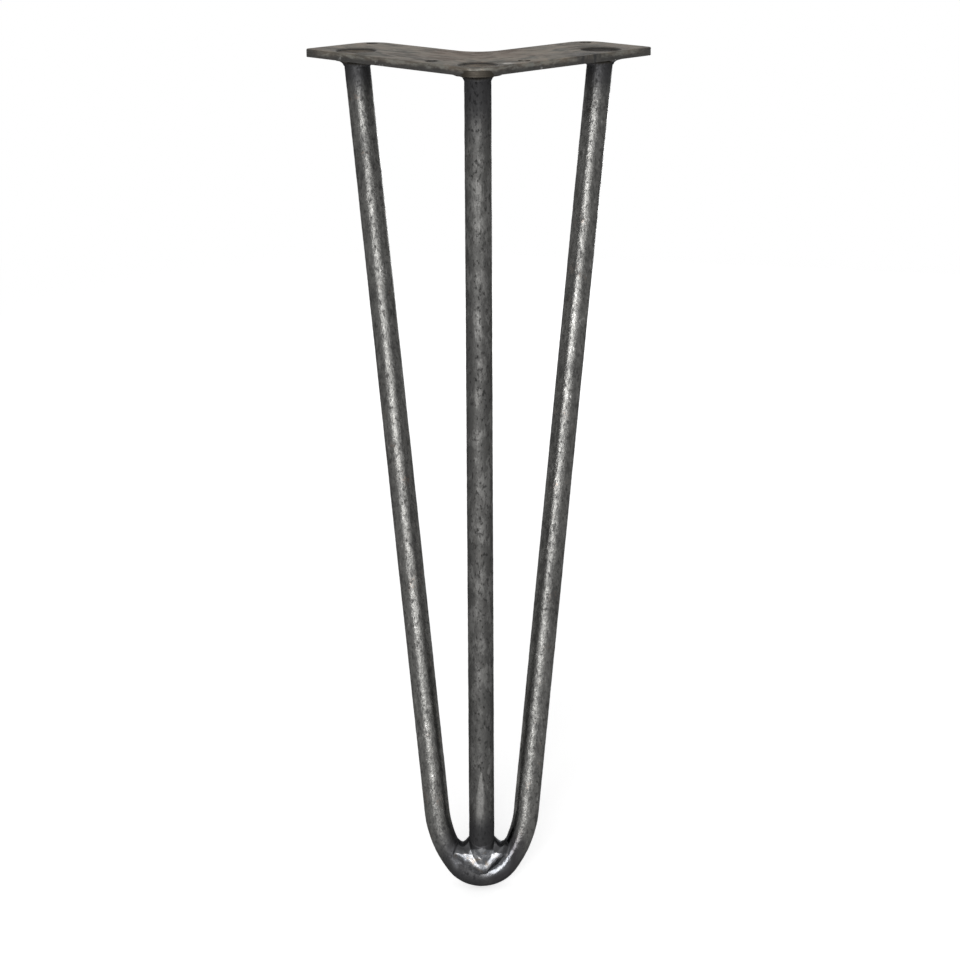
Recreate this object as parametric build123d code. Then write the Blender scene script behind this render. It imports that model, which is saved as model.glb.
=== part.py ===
from build123d import *
import math
import os

# A hairpin table leg: an L-shaped steel plate, one round bar bent to a U, a third bar under the plate's
# corner, and the welds that join them. Millimetres, +Z up. The origin lies on the plate's top face, midway
# between the two corner screws. The plate's corner and the foot point to -Y, and the leg is alike on both
# sides of X = 0.

# Whole leg
leg_height = 406.4              # plate's top face to the floor
foot_lead = 22.0                # foot in front of the corner bar's upper end

# Round bar, its bends measured at the centre line
bar_diameter = 12.7
foot_bend_radius = 15.0         # tight bend at the bottom of the U
foot_bend_half_angle = 53.0     # degrees, each way from the lowest point
side_bend_radius = 53.0         # wide bends that run from the tight one into the straight arms
cope_lap = 1.2                  # the corner bar's saddle-cut end laps the bend by this much

# Mounting plate
arm_length = 120.0
arm_width = 45.0
plate_thickness = 4.0
inner_corner_radius = 13.0
arm_heel_radius = 12.0          # inner corner of each arm's end
arm_tip_radius = 2.0            # outer corner of each arm's end
top_edge_radius = 0.6
lower_edge_radius = 0.3

# Screw holes
screw_hole_diameter = 6.0
screw_edge_distance = 7.0       # hole centre to the nearest edges
corner_screw_run = 37.5         # along an arm, from the plate's corner to the corner screw

# Bar sockets: straight holes through the plate, chamfered at 45 degrees from above
socket_clearance = 0.15         # at the tightest places, because the bars lean in their sockets
socket_land = 1.0               # straight wall left below the chamfer
arm_end_to_bar = 24.0           # arm's end to the bar's axis

# Welds
weld_leg = 5.0                  # hollow fillet under the plate, out from the bar
weld_drop = 3.0                 # and down the bar
weld_toe = 0.15                 # blunt lower lip of that fillet
weld_to_edge = 0.65             # fillet's upper rim to the plate's edge
weld_sections = 5               # rings that shape the fillet's hollow
plug_rim_depth = 0.8            # plug weld below the plate's top face
plug_dish = 0.4                 # hollow in the plug weld's face
plug_throat = 0.8               # plug weld over the bar's end
foot_weld_half_width = 16.0
foot_weld_half_height = 9.3
foot_weld_proud = 0.8           # ground faces of the bead over the corner bar
foot_weld_rise = 4.15           # bead's centre above the bend's inner side
foot_weld_lead = 1.2            # bead's centre in front of the bend
foot_notch_rise = 12.5          # round notches beside the corner bar, their centres above the bend's inner side
foot_notch_lap = 0.3            # those rounds lap the bars' sides by this much

# Worked out from the sizes above
bar_radius = bar_diameter / 2
socket_chamfer = plate_thickness - socket_land
plug_depth = plug_rim_depth + plug_dish
bar_end_depth = plug_depth + plug_throat
bar_edge_distance = bar_radius + weld_leg + weld_to_edge
nose_radius = bar_edge_distance
bar_run = arm_length - arm_end_to_bar

# The plate's corner frame has its arms along +X and +Y. Turned by 45 degrees, it points the corner to -Y.
corner_y = -(corner_screw_run + screw_edge_distance) / math.sqrt(2)
corner_frame = Location((0, corner_y, 0), (0, 0, 45))


def on_plate(along, across):
    """Point on the top face, from the plate's corner along the right arm and across it."""
    return (corner_frame * Pos(along, across)).position


corner_top = on_plate(bar_edge_distance, bar_edge_distance)
right_top = on_plate(bar_run, bar_edge_distance)
left_top = on_plate(bar_edge_distance, bar_run)
foot = Vector(0, corner_top.Y - foot_lead, bar_radius - leg_height)

# The U lies in a plane that leans from the two side bars' upper ends to the foot. In that plane X runs
# across, Y runs up and the lowest point of the centre line is at zero.
u_top = Vector(0, right_top.Y, 0)
u_run = (u_top - foot).length
u_plane = Plane(origin=foot, x_dir=(1, 0, 0), z_dir=Vector(1, 0, 0).cross(u_top - foot))

# Right side bend in that plane: its circle touches the tight bend's at one end, and a straight line to the
# bar's upper end is tangent to it at the other
bend_angle = math.radians(foot_bend_half_angle)
tight_centre = Vector(0, foot_bend_radius)
to_junction = Vector(math.sin(bend_angle), -math.cos(bend_angle))
wide_centre = tight_centre + to_junction * (foot_bend_radius - side_bend_radius)
arm_top = Vector(right_top.X, u_run)
to_top = arm_top - wide_centre
touch_angle = math.atan2(to_top.Y, to_top.X) - math.acos(side_bend_radius / to_top.length)
arm_touch = wide_centre + Vector(math.cos(touch_angle), math.sin(touch_angle)) * side_bend_radius

# Upper end of each bar on the top face, and the bar's direction down from there
right_down = (u_plane.from_local_coords(arm_touch) - right_top).normalized()
left_down = Vector(-right_down.X, right_down.Y, right_down.Z)
corner_down = (foot - corner_top).normalized()
bar_ends = {"left": (left_top, left_down), "corner": (corner_top, corner_down), "right": (right_top, right_down)}


def below(solid, depth):
    """The part of a solid that lies below the top face by at least the given depth."""
    return split(solid, bisect_by=Plane.XY.offset(-depth), keep=Keep.BOTTOM)


def bar_along(path):
    """Round bar swept along a path."""
    section = Plane(origin=path @ 0, z_dir=path % 0) * Circle(bar_radius)
    return sweep(section, path)


def hairpin_bar():
    """The bar bent to a U: straight arms, wide side bends and the tight bend, its ends trimmed level."""
    tight_bend = CenterArc(tight_centre, foot_bend_radius, -90 - foot_bend_half_angle, 2 * foot_bend_half_angle)
    junction_angle = foot_bend_half_angle - 90
    wide_bend = CenterArc(wide_centre, side_bend_radius, junction_angle, math.degrees(touch_angle) - junction_angle)
    # The arms run past the plate's top face before they are trimmed
    past_top = arm_top + (arm_top - arm_touch).normalized() * bar_radius
    right_side = wide_bend + Line(arm_touch, past_top)
    path = tight_bend + right_side + mirror(right_side, about=Plane.YZ)
    return below(bar_along(Wire((u_plane.location * path).edges())), bar_end_depth)


def corner_bar(hairpin):
    """The third bar, trimmed level in the plate and saddle-cut over the inside of the bend."""
    past_top = corner_top - corner_down * bar_radius
    lower_end = foot - corner_down * (bar_radius - cope_lap)
    bar = below(bar_along(Line(past_top, lower_end)), bar_end_depth)
    return bar - hairpin


def level_radius(down):
    """Half the longest width of a leaning bar's level section."""
    return bar_radius / -down.Z


def axis_at(end, depth):
    """Point on a bar's axis at a depth below the top face."""
    top, down = end
    return top + down * (depth / -down.Z)


def socket(end):
    """Radius of a bar's socket and its centre on the top face, with room for the bar's lean."""
    middle = axis_at(end, plate_thickness / 2)
    lean = (axis_at(end, plate_thickness) - middle + Vector(0, 0, plate_thickness / 2)).length
    return level_radius(end[1]) + lean + socket_clearance, Vector(middle.X, middle.Y, 0)


def socket_mouth(end):
    """The chamfered mouth of a bar's socket, as a solid."""
    radius, centre = socket(end)
    from_top = (Align.CENTER, Align.CENTER, Align.MAX)
    return Pos(centre) * Cone(radius, radius + socket_chamfer, socket_chamfer, align=from_top)


def mounting_plate():
    """L-shaped plate with rounded corners, eased edges, screw holes and a socket for each bar."""
    corners = [(0, 0), (arm_length, 0), (arm_length, arm_width), (arm_width, arm_width),
               (arm_width, arm_length), (0, arm_length)]
    radii = [nose_radius, arm_tip_radius, arm_heel_radius, inner_corner_radius, arm_heel_radius, arm_tip_radius]
    outline = make_face(Polyline(*corners, close=True))
    for corner, radius in zip(corners, radii):
        outline = fillet(outline.vertices().sort_by_distance((*corner, 0))[0], radius)
    plate = extrude(corner_frame * outline, -plate_thickness)
    plate = fillet(plate.faces().sort_by(Axis.Z)[-1].edges(), top_edge_radius)
    plate = fillet(plate.faces().sort_by(Axis.Z)[0].edges(), lower_edge_radius)
    heel_run, heel_across = arm_length - screw_edge_distance, arm_width - screw_edge_distance
    for along, across in [(corner_screw_run, screw_edge_distance), (heel_run, heel_across)]:
        for place in (on_plate(along, across), on_plate(across, along)):
            plate -= Pos(place) * Cylinder(screw_hole_diameter / 2, 2 * plate_thickness)
    for end in bar_ends.values():
        radius, centre = socket(end)
        plate = plate - Pos(centre) * Cylinder(radius, 2 * plate_thickness) - socket_mouth(end)
    return plate


def plate_weld(end, bar):
    """Hollow fillet round a bar under the plate: rings that shrink down the bar along a quarter of an oval."""
    rings = []
    for step in range(weld_sections):
        turn = math.radians(90) * step / (weld_sections - 1)
        centre = axis_at(end, plate_thickness + weld_drop * (1 - math.cos(turn)))
        radius = level_radius(end[1]) + weld_toe + weld_leg * (1 - math.sin(turn))
        rings.append(Pos(centre) * Circle(radius))
    return loft(rings) - bar


def plug_weld(end, bar):
    """Weld that fills a socket's chamfer over the bar's end, dished below the plate's top face."""
    radius, centre = socket(end)
    rim_radius = radius + socket_chamfer - plug_rim_depth
    dish_radius = (rim_radius ** 2 + plug_dish ** 2) / (2 * plug_dish)
    dish = Pos(centre + Vector(0, 0, dish_radius - plug_depth)) * Sphere(dish_radius)
    return socket_mouth(end) - dish - bar


def foot_weld(hairpin, corner):
    """Bead that fills the joint of the bend and the corner bar: an oval turned about a level axis, ground flat at
    the front and back a little over the corner bar, with a round notch on each side of that bar."""
    arc = EllipticalCenterArc((0, 0), foot_weld_half_width, foot_weld_half_height, start_angle=0, arc_size=180)
    oval = revolve(make_face(arc + Line(arc @ 1, arc @ 0)), Axis.X)
    bead = u_plane.location * Pos(0, bar_radius + foot_weld_rise, foot_weld_lead) * oval
    corner_front = corner_down.cross(Vector(1, 0, 0))
    for outward in (corner_front, corner_front * -1):
        ground_face = Plane(origin=foot + outward * (bar_radius + foot_weld_proud), z_dir=outward)
        bead = split(bead, bisect_by=ground_face, keep=Keep.BOTTOM)
    notch_height = bar_radius + foot_notch_rise
    bend_side = wide_centre.X + math.sqrt((side_bend_radius - bar_radius) ** 2 - (notch_height - wide_centre.Y) ** 2)
    # Each notch is as long as the bead is wide, so it runs right through from front to back
    notch = Cylinder((bend_side - bar_radius) / 2 + foot_notch_lap, 2 * foot_weld_half_width)
    for side in (-1, 1):
        bead -= u_plane.location * Pos(side * (bend_side + bar_radius) / 2, notch_height) * notch
    return bead - hairpin - corner


def build():
    """All pieces of the leg by name."""
    hairpin = hairpin_bar()
    corner = corner_bar(hairpin)
    pieces = {"mounting_plate": mounting_plate(), "hairpin_bar": hairpin, "corner_bar": corner,
              "foot_weld": foot_weld(hairpin, corner)}
    for name, end in bar_ends.items():
        bar = corner if name == "corner" else hairpin
        pieces[f"{name}_plate_weld"] = plate_weld(end, bar)
        pieces[f"{name}_plug_weld"] = plug_weld(end, bar)
    return pieces


os.makedirs("parts", exist_ok=True)
for node, piece in build().items():
    export_step(piece, f"parts/{node}.step")
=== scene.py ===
import math

import bpy
import numpy as np
from bpy.props import FloatProperty, FloatVectorProperty, IntProperty, PointerProperty
from bpy.types import Operator, Panel, PropertyGroup
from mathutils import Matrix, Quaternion, Vector


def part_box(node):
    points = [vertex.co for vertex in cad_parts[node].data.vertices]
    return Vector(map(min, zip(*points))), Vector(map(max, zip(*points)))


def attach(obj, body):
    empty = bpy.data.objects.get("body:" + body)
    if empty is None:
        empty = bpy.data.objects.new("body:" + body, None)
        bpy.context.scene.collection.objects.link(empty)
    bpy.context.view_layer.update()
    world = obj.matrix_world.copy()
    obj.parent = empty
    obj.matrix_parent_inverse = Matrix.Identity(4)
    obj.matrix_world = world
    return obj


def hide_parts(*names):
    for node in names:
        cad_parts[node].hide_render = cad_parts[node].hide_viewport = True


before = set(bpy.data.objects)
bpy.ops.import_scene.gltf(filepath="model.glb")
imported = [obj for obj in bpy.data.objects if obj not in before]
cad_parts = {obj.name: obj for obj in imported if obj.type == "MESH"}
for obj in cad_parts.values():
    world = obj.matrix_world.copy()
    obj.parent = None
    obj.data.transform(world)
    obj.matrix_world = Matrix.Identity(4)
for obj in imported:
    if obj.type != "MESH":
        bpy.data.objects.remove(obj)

bl_info = {
    "name": "Hairpin Leg Finish",
    "version": (1, 0, 0),
    "blender": (4, 5, 0),
    "location": "3D View > Sidebar > Leg",
    "description": "Mill-scaled bars, rippled welds and raw steel plate of a hairpin table leg",
    "category": "Object",
}

BODY = "root"
BAR_SLOT, WELD_SLOT, PLATE_SLOT = "bar_steel", "weld_steel", "plate_steel"
FULL_TURN = 2 * math.pi
ACROSS = np.array([1.0, 0.0, 0.0])
# Added to the seed for each kind of piece, so that no two share their random draws
CORNER_SEED, FILLET_SEED, PLUG_SEED, BEAD_SEED = 20, 40, 60, 80

# Each plug weld: how much further it fills its socket than the solid, and how far it is toned like the plate
PLUGS = {"left": (0.0001, 0.5), "corner": (0.0001, 0.65), "right": (0, 0.1)}

# Facets of the foot weld: heading across, up and to the front, and reach from its centre
FOOT_FACETS = (
    (0.40, -0.05, 1, 0.0086),
    (-0.50, 0.10, -1, 0.0085),
    (0.45, -0.20, -1, 0.0084),
    (0.05, 0.50, -1, 0.0083),
)
# Waves along the foot weld's shelf: height, length and phase
SHELF_WAVES = ((0.0003, 0.0061, 1), (0.0002, 0.0037, 0))

# Where marks on the bars fade in or out, in metres: out from the foot weld's centre
FOOT_HEAT, FOOT_GRIND_SHEEN = (0.016, 0.028), (0.0130, 0.0170)
# Where the grinding marks, which also paint a sheen, lie: to the right, to the left, and up over a line that
# rises to both sides
GRIND_SHEEN_RIGHT, GRIND_SHEEN_LEFT, GRIND_SHEEN_UP = (-0.002, 0.007), (0.0115, 0.0135), (-0.003, 0.001)
GRIND_SHEEN_RISE = 0.35
# Down from the plate, and how much further on the corner bar
PLATE_HEAT, CORNER_HEAT_MORE = (0.006, 0.020), 0.018
# To the right and up, where the right bar is rubbed smooth, and how much less dull it is there
RUB_RIGHT, RUB_UP, RUB_GAIN = (0.015, 0.025), (0.13, 0.20), 0.25
# Where the fillet welds' lumps and the climb on the nose fade, as angles from the front
LUMPS_FADE = (math.radians(30), math.radians(75))
CLIMB_FADE = (math.radians(20), math.radians(75))


def length(name, description, default):
    """Property for a length in metres."""
    return FloatProperty(
        name=name, description=description, default=default, min=0, unit="LENGTH", precision=5)


def number(name, description, default, **kind):
    """Property for a number, with a unit or subtype where one fits."""
    return FloatProperty(name=name, description=description, default=default, **kind)


def pair(name, description, default, **kind):
    """Property for two numbers, with a unit where one fits."""
    return FloatVectorProperty(name=name, description=description, size=2, default=default, **kind)


def colour(name, description, default):
    """Property for a linear colour."""
    return FloatVectorProperty(
        name=name, description=description, default=default, subtype="COLOR", min=0, max=1)


def place(name, description, default):
    """Property for a point in metres."""
    return FloatVectorProperty(
        name=name, description=description, default=default, subtype="TRANSLATION", unit="LENGTH")


class LegSizes(PropertyGroup):
    """Sizes of the leg that the dressed surfaces share with its solids."""
    leg_height: length("Leg height", "Plate's top face to the floor", 0.4064)
    bar_diameter: length("Bar diameter", "Round bar", 0.0127)
    side_bar_top: place("Side bar top", "Right side bar's axis on the plate's top", (0.059397, 0.044902, 0))
    corner_bar_top: place("Corner bar top", "Corner bar's axis on the plate's top", (0, -0.014496, 0))
    foot_lead: length("Foot lead", "Foot in front of the corner bar's upper end", 0.022)
    foot_bend_radius: length("Foot bend radius", "Tight bend, at the bar's axis", 0.015)
    foot_bend_half_angle: number(
        "Foot bend half angle", "Tight bend each way from its lowest point", math.radians(53),
        subtype="ANGLE")
    side_bend_radius: length("Side bend radius", "Wide bends beside that one, at the bar's axis", 0.053)
    bar_end_depth: length("Bar end depth", "Bars' upper ends below the plate's top face", 0.002)
    cope_lap: length("Cope lap", "Corner bar's saddle-cut end inside the bend's skin", 0.0012)
    plate_thickness: length("Plate thickness", "Mounting plate", 0.004)
    plate_inner_corner: place("Plate inner corner", "Inner corner on the plate's top face", (0, 0.032, 0))
    arm_tip_sum: length("Arm tip sum", "X and Y, added up, of each arm's straight end", 0.13824)
    left_screw: place("Left screw", "Left corner screw hole on the plate's top face", (-0.021567, 0, 0))
    screw_diameter: length("Screw hole diameter", "Holes through the plate", 0.006)
    nose_radius: length("Nose radius", "Plate's rounded corner, about the corner bar", 0.012)
    weld_leg: length("Weld leg", "Hollow fillet under the plate, out from the bar", 0.005)
    weld_drop: length("Weld drop", "That fillet down the bar", 0.003)
    weld_toe: length("Weld toe", "Lower lip of that fillet over the bar", 0.00015)
    bead_half_width: length("Bead half width", "Foot weld", 0.016)
    bead_half_height: length("Bead half height", "Foot weld", 0.0093)
    bead_proud: length("Bead proud", "Foot weld's back face over the corner bar", 0.0008)
    bead_rise: length("Bead rise", "Foot weld's centre above the bend's inner side", 0.00415)
    bead_lead: length("Bead lead", "Foot weld's centre in front of the bend", 0.0012)
    notch_rise: length("Notch rise", "Round notches by the corner bar above the bend's inner side", 0.0125)
    notch_lap: length("Notch lap", "Those rounds over the bars' sides", 0.0003)


class LegSurface(PropertyGroup):
    """Relief of the leg's surfaces, and the places of its marks."""
    pit_depth: length("Pit depth", "Deepest pits in the bars' mill scale", 0.00006)
    pit_short: length("Shortest pit", "Shortest wave of the pitting", 0.0018)
    pit_long: length("Longest pit", "Longest wave of the pitting", 0.006)
    dent_depth: length("Dent depth", "Rolling dents in the bars", 0.00006)
    dent_short: length("Shortest dent", "Shortest wave of the dents", 0.012)
    dent_long: length("Longest dent", "Longest wave of the dents", 0.045)
    ripple_height: length("Ripple height", "Weld ripples", 0.00022)
    ripple_step: length("Ripple step", "From one ripple to the next on the foot weld's back", 0.0021)
    lump_height: length("Lump height", "Lumps in the weld beads", 0.00055)
    shelf_front: length("Shelf front", "Foot weld's shelf in front of the bent bar's lowest point", 0.00805)
    shelf_slope: number("Shelf slope", "How steeply that shelf leans back", 0.10)
    shelf_width: length("Shelf width", "That shelf from its lip up", 0.0034)
    fall_slope: number("Shelf fall", "How steeply the weld leans back above it", 0.4)
    under_slopes: pair("Shelf underside", "How steeply the weld draws back under it", (0.28, 0.75))
    lip_place: pair("Lip place", "Shelf lip's lowest point, across and up", (0.0010, 0.0029), unit="LENGTH")
    lip_slopes: pair("Lip slopes", "Rise of the lip to the left and to the right", (0.66, 0.95))
    lip_climb: length("Lip climb", "Highest the lip climbs over the foot weld's centre", 0.0016)
    weld_skin: length("Weld skin", "Foot weld over the corner bar's front", 0.0001)
    smoke_place: place("Smoke", "Weld smoke on the plate before the right bar", (0.0515, 0.0230, -0.001))
    smoke_radius: length("Smoke radius", "Reach of that smoke", 0.0145)
    # A scraped patch on the corner bar whose paler colour also paints a highlight
    scrape_and_highlight_place: pair(
        "Scrape", "Pale scrape on the corner bar's front, across and up", (-0.0006, 0.0416), unit="LENGTH")
    scrape_and_highlight_size: pair("Scrape size", "Half that scrape's width and length", (0.0022, 0.0160), unit="LENGTH")
    # A scuffed spot on the plate whose pale colour also paints a highlight
    scuff_glint_place: place("Scuff", "Bright scuff, along the right arm and across it", (0.0024, -0.0172, 0))
    scuff_glint_radius: length("Scuff radius", "Half that scuff's width", 0.0036)
    seed: IntProperty(name="Seed", description="Start of the random draws", default=7, min=0)


class LegColours(PropertyGroup):
    """Colours of the raw steel."""
    scale_dark: colour("Dark scale", "Unbroken mill scale on the bars", (0.052, 0.0515, 0.050))
    scale_mid: colour("Grey scale", "Worn mill scale on the bars", (0.098, 0.097, 0.093))
    # Also the paler colour that paints a highlight on the corner bar's scraped patch
    bare_steel: colour("Bare steel", "Where the scale has flaked or been scraped off", (0.23, 0.227, 0.22))
    # Also the painted shade in the plate's screw hole and socket chamfers
    pit_and_shade_dark: colour("Pit dark", "Pits in the scale, and the plate's dark spots", (0.026, 0.0255, 0.025))
    heat_dark: colour("Heat dark", "Bars under the plate, and the welds' toes", (0.032, 0.032, 0.0335))
    heat_purple: colour("Heat purple", "Bars round the foot weld", (0.033, 0.0315, 0.034))
    rust: colour("Rust", "Thin rust in the pits", (0.125, 0.079, 0.056))
    plate_brown: colour("Plate brown", "Warm grey of the plate", (0.228, 0.190, 0.148))
    plate_grey: colour("Plate grey", "Cooler bands of the plate", (0.150, 0.150, 0.136))
    plate_dark: colour("Plate dark", "Cut sides and stains of the plate", (0.070, 0.062, 0.053))
    # Also the painted highlight of the scuffed spot
    plate_bright: colour("Plate bright", "Scuff on the plate", (0.50, 0.48, 0.45))
    weld_silver: colour("Weld silver", "Clean weld metal", (0.17, 0.172, 0.178))
    # Also the lighter grinding marks on the bars, which paint a sheen
    weld_grey: colour("Weld grey", "Weld metal under its skin of oxide", (0.085, 0.088, 0.094))
    weld_straw: colour("Weld straw", "Heat tint on the welds", (0.13, 0.105, 0.08))
    weld_brown: colour("Weld brown", "Welds at the plate", (0.034, 0.030, 0.025))


class StageSettings(PropertyGroup):
    """Floor, light and camera."""
    floor_colour: colour("Floor", "Floor near the leg", (0.9, 0.9, 0.9))
    floor_radius: length("Floor radius", "Round floor", 30.0)
    floor_lift: number("Floor lift", "Added white of the floor near the leg", 0.48)
    near_floor: length("Near floor", "Floor that takes the leg's shadow", 0.35)
    far_floor: length("Far floor", "Floor that is plain white", 1.6)
    sky_strength: number("Sky strength", "Soft light from all round", 0.4)
    key_place: place("Key light", "Middle of the soft light on the left", (-0.30, -1.46, 0.06))
    key_size: pair("Key light size", "Its width and height", (0.6, 0.9), unit="LENGTH")
    key_power: number("Key light power", "Its output", 20.0, unit="POWER")
    fill_place: place("Fill light", "Middle of the weaker light on the right", (0.42, -1.40, 0.06))
    fill_size: pair("Fill light size", "Its width and height", (0.5, 0.9), unit="LENGTH")
    fill_power: number("Fill light power", "Its output", 4.5, unit="POWER")
    back_place: place("Back light", "Middle of the weak light behind", (0.35, 1.45, -0.2))
    back_size: pair("Back light size", "Its width and height", (0.8, 0.36), unit="LENGTH")
    back_power: number("Back light power", "Its output", 9.0, unit="POWER")
    camera_place: place("Camera", "Camera's place", (0.0076, -1.043, 0.1233))
    camera_target: place("Camera target", "Point in the middle of the picture", (0, -0.0145, -0.1996))
    camera_lens: number("Lens", "Focal length", 83.3, unit="CAMERA", subtype="DISTANCE_CAMERA")
    camera_roll: number("Roll", "Camera's turn about its view", math.radians(-0.33), subtype="ANGLE")


# Surfaces

def unit(vector):
    """A vector at length one."""
    return vector / np.linalg.norm(vector)


def ramp_up(value, low, high):
    """Smooth step from 0 at low to 1 at high: 3t^2 - 2t^3 of the share of the way."""
    share = np.clip((value - low) / (high - low), 0, 1)
    return share * share * (3 - 2 * share)


def ring(columns):
    """Angles spaced evenly round a full turn."""
    return np.linspace(0, FULL_TURN, columns, endpoint=False)


def furthest(inside, outside, holds, halvings):
    """The furthest that a test holds on the way from inside to outside, found by halving."""
    for _ in range(halvings):
        middle = (inside + outside) / 2
        met = holds(middle)
        inside, outside = np.where(met, middle, inside), np.where(met, outside, middle)
    return inside


def ring_grid(rows, columns):
    """Corner indices of the quads of a grid of points whose columns close round."""
    row = np.arange(rows - 1)[:, None] * columns
    this = np.arange(columns)[None, :]
    following = (this + 1) % columns
    quads = [row + this, row + following, row + columns + following, row + columns + this]
    return np.stack(np.broadcast_arrays(*quads), axis=-1).reshape(-1, 4)


def ring_fan(first, columns, centre):
    """Corner indices of the triangles from one ring of points to a point at its centre."""
    this = first + np.arange(columns)
    following = first + (np.arange(columns) + 1) % columns
    return np.stack([this, following, np.full(columns, centre)], axis=-1)


def make_piece(name, grid, slot, nodes, finish, marks, first_centre=None, last_centre=None):
    """A closed piece from a grid of rings of points: with a fan of triangles over its first and last rings
    where their centres are given, and otherwise with its last ring joined to its first. Faces are turned so
    that the enclosed volume is positive. Marks are numbers over the grid, which the points keep for the
    materials."""
    rows, columns = grid.shape[:2]
    points = grid.reshape(-1, 3)
    triangles = np.empty((0, 3), int)
    if first_centre is None:
        quads = ring_grid(rows + 1, columns) % len(points)
    else:
        quads = ring_grid(rows, columns)
        top = ring_fan(0, columns, len(points))[:, ::-1]
        bottom = ring_fan(len(points) - columns, columns, len(points) + 1)
        triangles = np.concatenate([top, bottom])
        points = np.concatenate([points, [first_centre, last_centre]])
    corners = np.concatenate([quads[:, [0, 1, 2]], quads[:, [0, 2, 3]], triangles])
    a, b, c = (points[corners[:, k]] for k in range(3))
    if np.einsum("ij,ij->", a, np.cross(b, c)) < 0:
        quads, triangles = quads[:, ::-1], triangles[:, ::-1]
    mesh = bpy.data.meshes.new(name)
    mesh.from_pydata(points, [], quads.tolist() + triangles.tolist())
    mesh.polygons.foreach_set("use_smooth", np.ones(len(mesh.polygons), bool))
    for mark, values in marks.items():
        values = np.broadcast_to(values, (rows, columns))
        ends = [] if first_centre is None else [values[0].mean(), values[-1].mean()]
        attribute = mesh.attributes.new(mark, "FLOAT", "POINT")
        attribute.data.foreach_set("value", np.append(values.ravel(), ends).astype(np.float32))
    mesh.update()
    piece = bpy.data.objects.new(name, mesh)
    bpy.context.scene.collection.objects.link(piece)
    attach(piece, BODY)
    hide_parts(*nodes)
    mesh.materials.append(finish)


def wave_field(seed, along, around, radius, shortest, longest):
    """Smooth random height over a bar's skin, with a spread of one: a sum of plane waves of random heading,
    phase and length, each a whole number of waves round the bar. The cosine of a sum is taken apart, so that
    the field is two products of matrices."""
    count = 260
    draw = np.random.default_rng(seed)
    wave = shortest * (longest / shortest) ** draw.random(count)
    heading = draw.random(count) * FULL_TURN
    phase = draw.random(count) * FULL_TURN
    up = np.outer(along, FULL_TURN * np.cos(heading) / wave) + phase
    round_bar = np.outer(np.rint(FULL_TURN * np.sin(heading) * radius / wave), around)
    return (np.cos(up) @ np.cos(round_bar) - np.sin(up) @ np.sin(round_bar)) * math.sqrt(2 / count)


def worn_radius(sizes, surface, seed, along, around):
    """Radius of a bar's skin: its full radius less the pits and the dents, which only go inwards."""
    radius = sizes.bar_diameter / 2
    pits = wave_field(seed, along, around, radius, surface.pit_short, surface.pit_long)
    dents = wave_field(seed + 1, along, around, radius, surface.dent_short, surface.dent_long)
    inward = surface.pit_depth * (1 + np.tanh(pits)) / 2 + surface.dent_depth * (1 + np.tanh(dents)) / 2
    return radius - inward


def random_waves(draw, counts, around, least):
    """Sum of cosines round a ring, one for each number of waves, of random height and phase."""
    return sum(draw.uniform(least, 1) * np.cos(count * around + draw.uniform(0, FULL_TURN))
               for count in counts) / 3


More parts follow.
